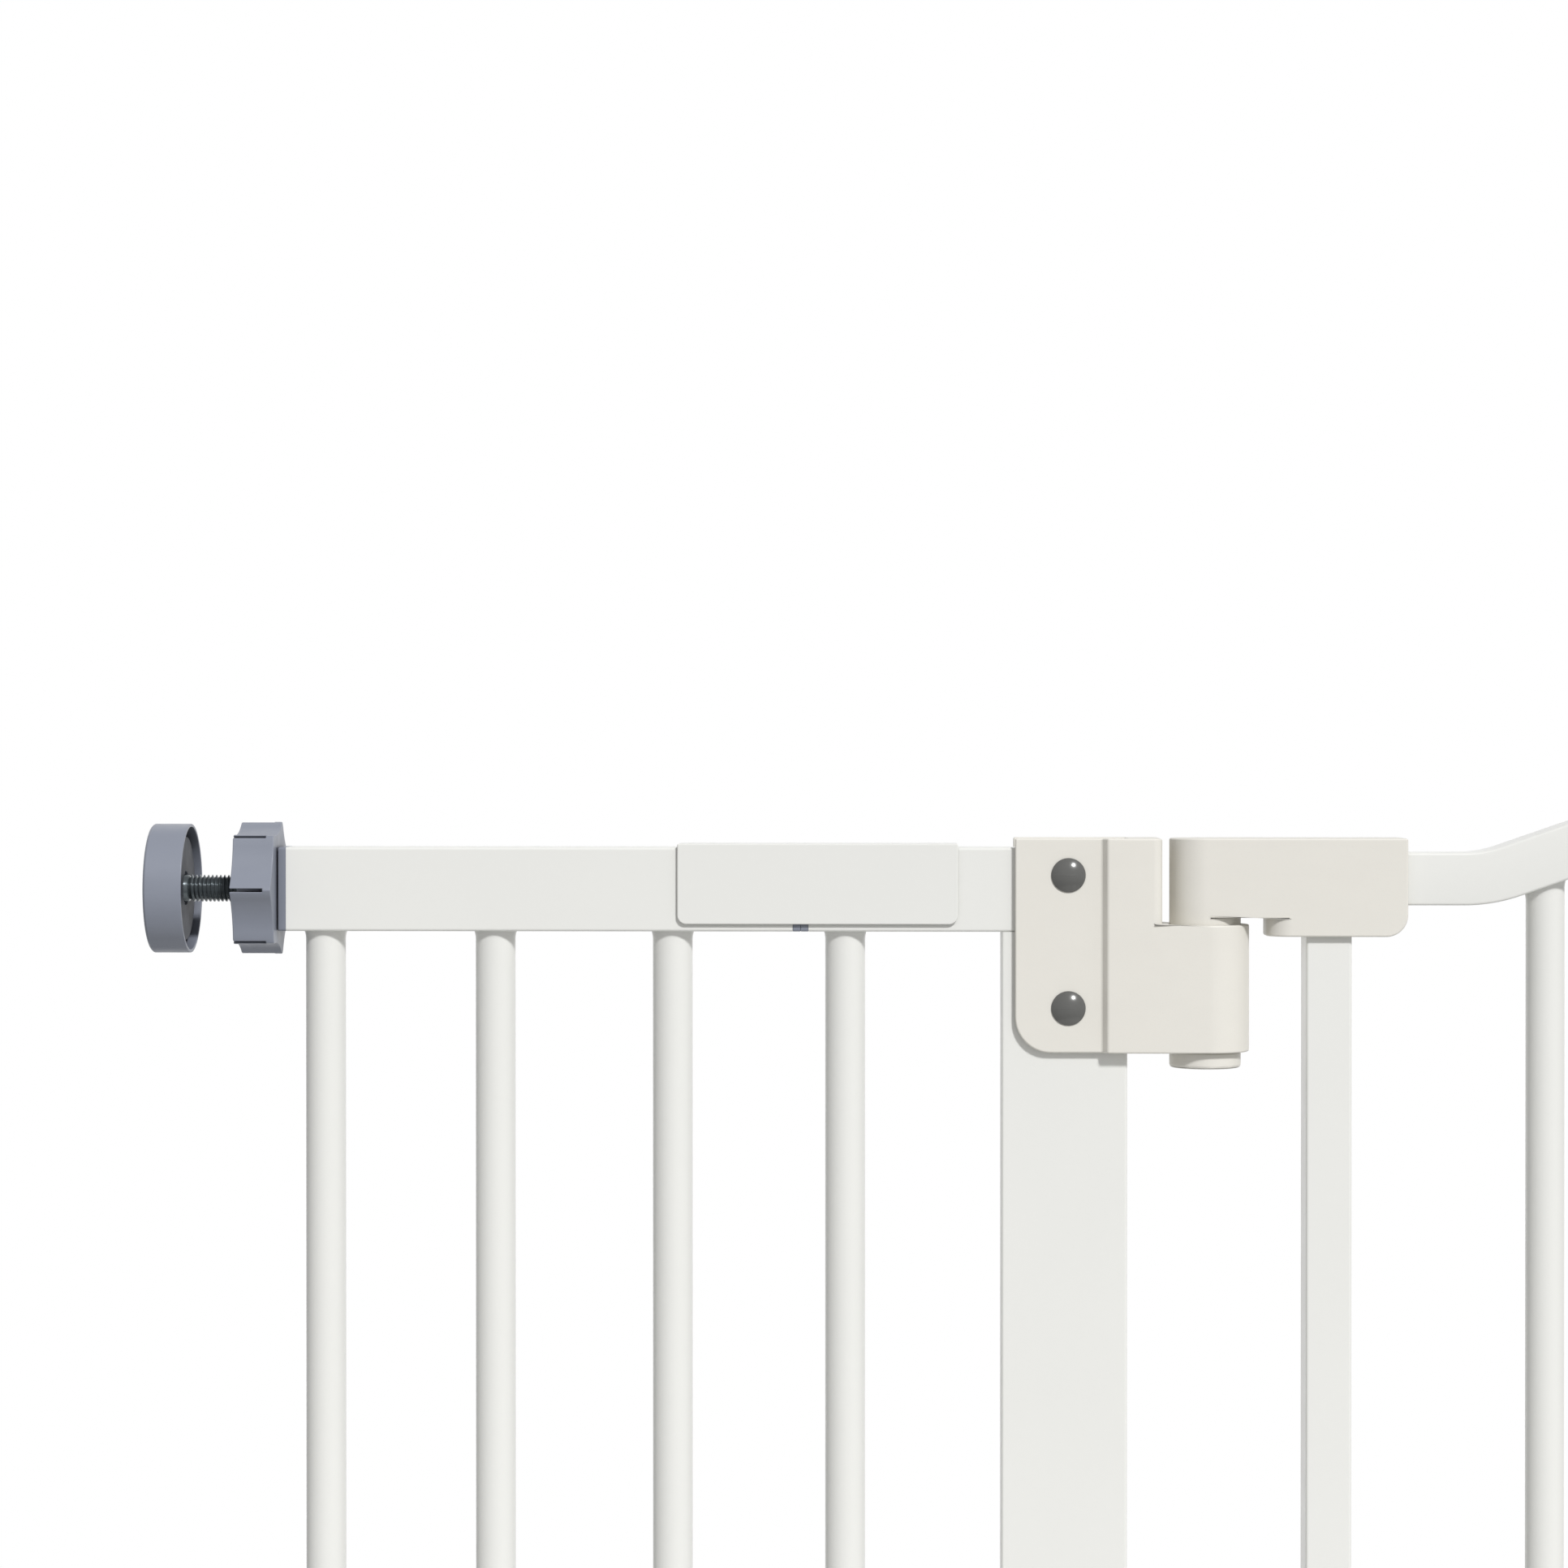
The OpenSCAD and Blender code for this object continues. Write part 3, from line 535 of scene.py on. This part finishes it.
def threaded_rod(node, outward):
    """A right-hand screw thread from the inner end to a plain collar at the pad's boss."""
    lo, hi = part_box(node)
    radius, height = (hi.y - lo.y) / 2, (lo.z + hi.z) / 2
    root = radius - THREAD_DEPTH
    pad_lo, pad_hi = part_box(node.replace("spindle", "wall_pad"))
    inner, outer = (lo.x, hi.x) if outward > 0 else (hi.x, lo.x)
    collar = (pad_lo.x if outward > 0 else pad_hi.x) + outward * COLLAR_IN
    length = abs(collar - inner)

    rows = []
    for turn in range(-1, int(length / PITCH) + 1):
        for part, depth in THREAD:
            row = []
            for k in range(THREAD_SEGMENTS + 1):
                along = (turn + part + k / THREAD_SEGMENTS) * PITCH
                inside = 0 < along < length - THREAD_RUNOUT
                r = radius - THREAD_DEPTH * (depth if inside else 1.0)
                angle = outward * 2 * math.pi * k / THREAD_SEGMENTS
                row.append((inner + outward * min(max(along, 0), length),
                            r * math.cos(angle), height + r * math.sin(angle)))
            rows.append(row)
    thread = grid_mesh(node, rows, closed=False)

    plain = [(inner, root), (collar, root), (collar, radius - COLLAR_EDGE),
             (collar + outward * COLLAR_EDGE, radius), (outer, radius)]
    rows = [[(x, c, height + s) for c, s in ring(r, THREAD_SEGMENTS)] for x, r in plain]
    shank = grid_mesh(node, rows, capped=True)
    mesh = joined(node + "_threaded", [shank, thread], weld=THREAD_WELD)
    finish_piece(node + "_threaded", mesh, node, THREAD_SHARP_ANGLE)


def shade_pad_disc(pad, node):
    """Gives the disc inside a wall pad's rim a duller material, painted dark for the shade inside
    the rim.
    """
    lo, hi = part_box(node)
    axis_y, axis_z = (lo.y + hi.y) / 2, (lo.z + hi.z) / 2
    wall_x = lo.x if lo.x < 0 else hi.x
    pad.data.materials.append(MATERIALS["pad_disc_shade"])
    for face in pad.data.polygons:
        corners = [pad.data.vertices[v].co for v in face.vertices]
        reach = max(math.hypot(c.y - axis_y, c.z - axis_z) for c in corners)
        at_wall = abs(face.center.x - wall_x) <= MM
        if PAD_RECESS_R < reach < PAD_DISC_R and not at_wall:
            face.material_index = 1


for side in SIDES:
    threaded_rod("spindle_" + side, -1 if side.endswith("left") else 1)
    rounded("hand_nut_" + side, NUT_EDGE)
    shade_pad_disc(rounded("wall_pad_" + side, FINE_EDGE), "wall_pad_" + side)
    rounded("spindle_plug_" + side, FINE_EDGE)


# ---------- clamp screws ----------

HEAD_SEGMENTS = 64
HEAD_STEPS = 12
HEAD_RISE = 2.0 * MM
HEAD_RIM = 0.4 * MM
# The head's underside starts at this share of its radius, and its crown ends in a tiny face
SEAT_SHARE = 0.4
CROWN_R = 0.02 * MM
SHANK_R = 2 * MM
SHANK_SEGMENTS = 24
# A screw whose tail is nearer to its head's seat than this gets no shank
SHORTEST_SHANK = 3 * MM
SEAM_HALF_WIDTH = 0.24 * MM
SEAM_HEIGHT = 0.07 * MM
# The seam's edges lie a little inside the dome, and its ends at these shares of the radius
SEAM_SUNK = 0.01 * MM
SEAM_START = -0.95
SEAM_STOP = 0.4
SEAM_STEPS = 16


def domed_heads(node, outward, seam=False):
    """Domed heads with a thin rim, on the shanks of a node's screws; outward is along Y.

    A seam is the fine moulding line that runs over each head from its left edge.
    """
    meshes = []
    for lo, hi in islands(node):
        x, z = (lo.x + hi.x) / 2, (lo.z + hi.z) / 2
        radius = (hi.x - lo.x) / 2
        crown, tail = (lo.y, hi.y) if outward < 0 else (hi.y, lo.y)
        seat = crown - outward * (HEAD_RISE + HEAD_RIM)
        ball = (radius ** 2 + HEAD_RISE ** 2) / (2 * HEAD_RISE)

        def dome(r):
            """The dome's Y at a distance from the head's axis."""
            return crown - outward * (ball - math.sqrt(ball ** 2 - r ** 2))

        profile = [(radius * SEAT_SHARE, seat), (radius, seat)]
        for k in range(HEAD_STEPS + 1):
            r = max(radius * math.cos(math.radians(90 * k / HEAD_STEPS)), CROWN_R)
            profile.append((r, dome(r)))
        rows = [[(x + c, y, z + s) for c, s in ring(r, HEAD_SEGMENTS)] for r, y in profile]
        meshes.append(grid_mesh(node, rows, capped=True))
        if seam:
            rows = []
            for k in range(SEAM_STEPS + 1):
                along = radius * (SEAM_START + (SEAM_STOP - SEAM_START) * k / SEAM_STEPS)
                rows.append([(x + along, dome(along) + outward * (rise - SEAM_SUNK), z + across)
                             for across, rise in ((-SEAM_HALF_WIDTH, 0), (0, SEAM_HEIGHT),
                                                  (SEAM_HALF_WIDTH, 0))])
            meshes.append(grid_mesh(node, rows, closed=False))
        if abs(tail - seat) > SHORTEST_SHANK:
            rows = [[(x + c, y, z + s) for c, s in ring(SHANK_R, SHANK_SEGMENTS)]
                    for y in (seat, tail)]
            meshes.append(grid_mesh(node, rows, capped=True))
    finish_piece(node + "_domed", joined(node + "_domed", meshes), node)


domed_heads("clamp_bolts", -1, seam=True)
domed_heads("clamp_nuts", 1)


# ---------- moulded and folded parts ----------

CLAMP_EDGE = 0.7 * MM
SHELL_EDGE = 0.6 * MM
FOLD_EDGE = 0.45 * MM

# The clamps' screw holes are out of sight under the heads
SCREWS = [((lo.x + hi.x) / 2, (lo.z + hi.z) / 2) for lo, hi in islands("clamp_bolts")]
for node in ("hinge_bracket_upper", "hinge_bracket_lower", "latch_keeper"):
    rounded(node, CLAMP_EDGE, closed_holes=SCREWS)
for node in ("hinge_arm_upper", "hinge_arm_lower"):
    rounded(node, CLAMP_EDGE)
for node in ("hinge_caps", "handle_front", "handle_rear", "floor_feet", "stile_cap"):
    rounded(node, SHELL_EDGE)
for node in ("lock_slider", "lock_bolt", "extension_plugs", "frame_plugs", "cap_screws"):
    rounded(node, FINE_EDGE)
for node in ("connector_cover_upper", "connector_cover_lower"):
    rounded(node, FOLD_EDGE)


# ---------- stage ----------

# In millimetres, as a Blender camera takes them
SENSOR_WIDTH = 36
FOCAL_LENGTH = 93.6
CAMERA_AT = (-0.2604, -1.5, 0.784)
# In degrees, from a level look along +Y
CAMERA_TURN_LEFT = 1.53
CAMERA_LOOK_DOWN = 0.40
FLOOR_R = 0.8
FLOOR_SEGMENTS = 128


def make_camera():
    """The camera, in front of the left half of the gate and a little above its upper rail."""
    data = bpy.data.cameras.new("camera")
    data.sensor_width = SENSOR_WIDTH
    data.lens = FOCAL_LENGTH
    camera = bpy.data.objects.new("camera", data)
    camera.location = CAMERA_AT
    camera.rotation_euler = (math.pi / 2 - math.radians(CAMERA_LOOK_DOWN), 0,
                             math.radians(CAMERA_TURN_LEFT))
    bpy.context.scene.collection.objects.link(camera)
    bpy.context.scene.camera = camera


def sun(name, direction, strength, width):
    """A sun lamp whose light travels along direction; width is its disc in degrees."""
    data = bpy.data.lights.new(name, "SUN")
    data.energy = strength
    data.angle = math.radians(width)
    lamp = bpy.data.objects.new(name, data)
    lamp.rotation_mode = "QUATERNION"
    lamp.rotation_quaternion = Vector(direction).to_track_quat("-Z", "Y")
    bpy.context.scene.collection.objects.link(lamp)


def make_world(above, level, below, shine):
    """A white studio: it is white to look at, and it lights less, least of all from below.

    Reflections see it shine times brighter than diffuse surfaces do.
    """
    world = bpy.data.worlds.new("studio")
    w = Nodes(world)
    up = w.add("SeparateXYZ", "Z", {"Vector": w.add("TexCoord", "Generated", {})})
    height = w.add("MapRange", "Result", {"Value": up, "From Min": -1.0})
    light = w.add("ValToRGB", "Color", {"Fac": height})
    # The ramp runs from straight down, at 0, to straight up, with the horizon halfway
    stops = light.node.color_ramp.elements
    stops.new(0.5)
    for stop, value in zip(stops, (below, level, above)):
        stop.color = (value, value, value, 1)
    glossy = w.add("LightPath", "Is Glossy Ray", {})
    gain = w.add("MapRange", "Result", {"Value": glossy, "To Min": 1.0, "To Max": shine})
    gained = w.add("Math", "Value", {0: light, 1: gain}, operation="MULTIPLY")
    in_view = w.add("LightPath", "Is Camera Ray", {})
    strength = w.add("Mix", "Result", {"Factor": in_view, "A": gained, "B": 1.0})
    background = w.tree.nodes["Background"]
    w.feed(background.inputs["Color"], (1, 1, 1, 1))
    w.feed(background.inputs["Strength"], strength)
    bpy.context.scene.world = world


def make_floor():
    """A plain round pale floor, too small to reach into the camera's view."""
    bm = bmesh.new()
    bmesh.ops.create_circle(bm, cap_ends=True, radius=FLOOR_R, segments=FLOOR_SEGMENTS)
    mesh = mesh_from(bm, "floor")
    floor = bpy.data.objects.new("floor", mesh)
    s = Surface("floor_paint", specular=0.2)
    pale = srgb(236, 236, 234)
    cloud = s.noise(0.4, detail=3)
    s.colour(s.mixed(s.spread(cloud, 0, 1), shaded(pale, 0.98), pale))
    s.roughness(s.spread(cloud, 0.6, 0.7))
    mesh.materials.append(s.material)
    bpy.context.scene.collection.objects.link(floor)


make_camera()
make_world(above=0.32, level=0.43, below=0.14, shine=1.25)
sun("key", (-0.5, 1.0, -0.9), strength=2.3, width=8)
sun("front_fill", (0, 1, -0.1), strength=0.07, width=90)
sun("back_fill", (0, -1, -0.15), strength=0.8, width=90)
make_floor()
bpy.context.scene.view_settings.view_transform = "Standard"
